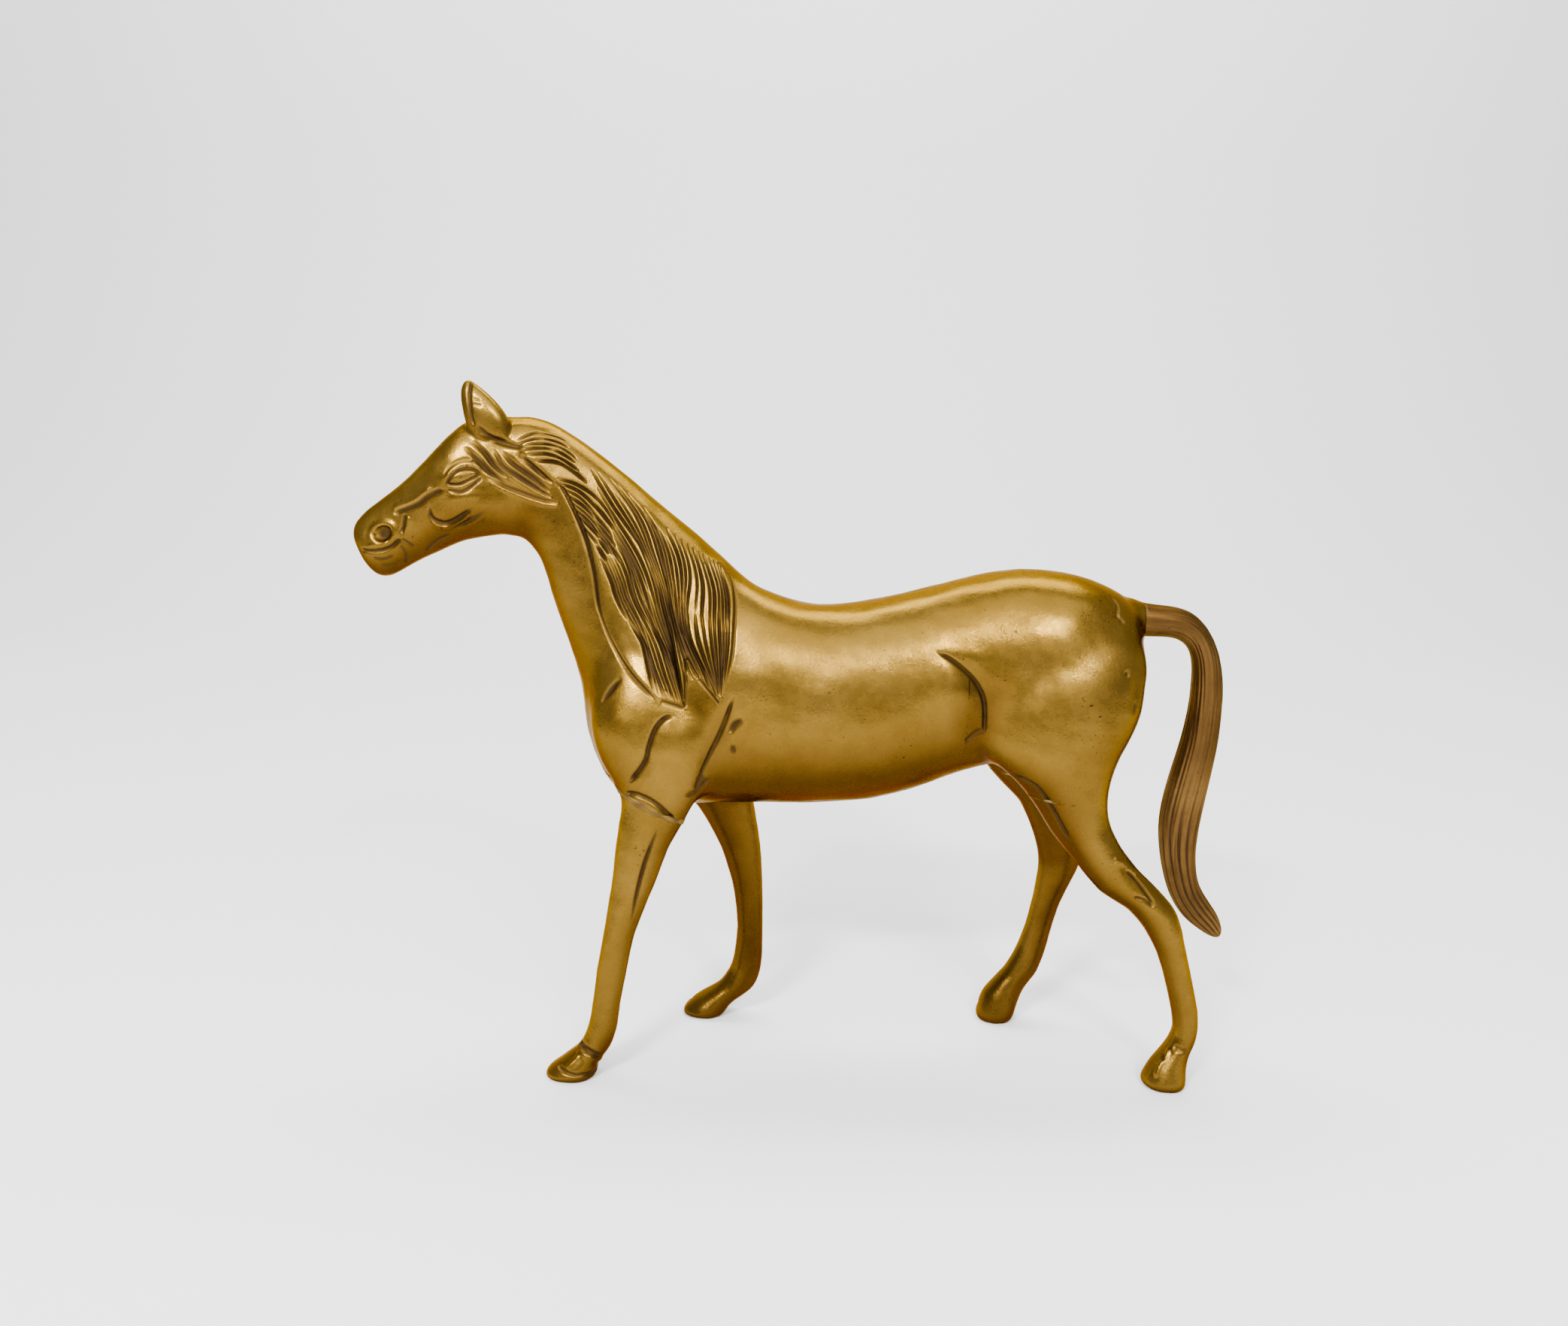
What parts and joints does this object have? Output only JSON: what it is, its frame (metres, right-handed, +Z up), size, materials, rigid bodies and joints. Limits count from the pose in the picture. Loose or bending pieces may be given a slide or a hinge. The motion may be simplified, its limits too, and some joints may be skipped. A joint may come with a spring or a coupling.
{
  "type": "horse statue",
  "caption": "Hollow cast brass horse standing in a walking stance, with a carved mane, pricked ears and a long curved tail, for a shelf or table.",
  "frame": {"origin": "on the table under the middle of the statue's length and width", "axes": "+Z up, +X from the nose towards the tail, -Y is the horse's left side"},
  "size_m": [0.3058, 0.0676, 0.2325],
  "materials": {
    "brass": "worn polished brass with brown patina in the hollows",
    "tail_brass": "rough as-cast brass with dark brown patina",
    "braze": "dull greyish filler metal"
  },
  "bodies": {
    "root": {"forehand_left": "brass", "forehand_right": "brass", "barrel_left": "brass", "barrel_right": "brass", "haunch_left": "brass", "haunch_right": "brass", "ear_left": "brass", "ear_right": "brass", "foreleg_left": "brass", "foreleg_right": "brass", "hindleg_left": "brass", "hindleg_right": "brass", "tail": "tail_brass", "foreleg_bead_left": "braze", "foreleg_bead_right": "braze", "hindleg_bead_left": "braze", "hindleg_bead_right": "braze", "tail_bead": "braze"}
  },
  "joints": []
}
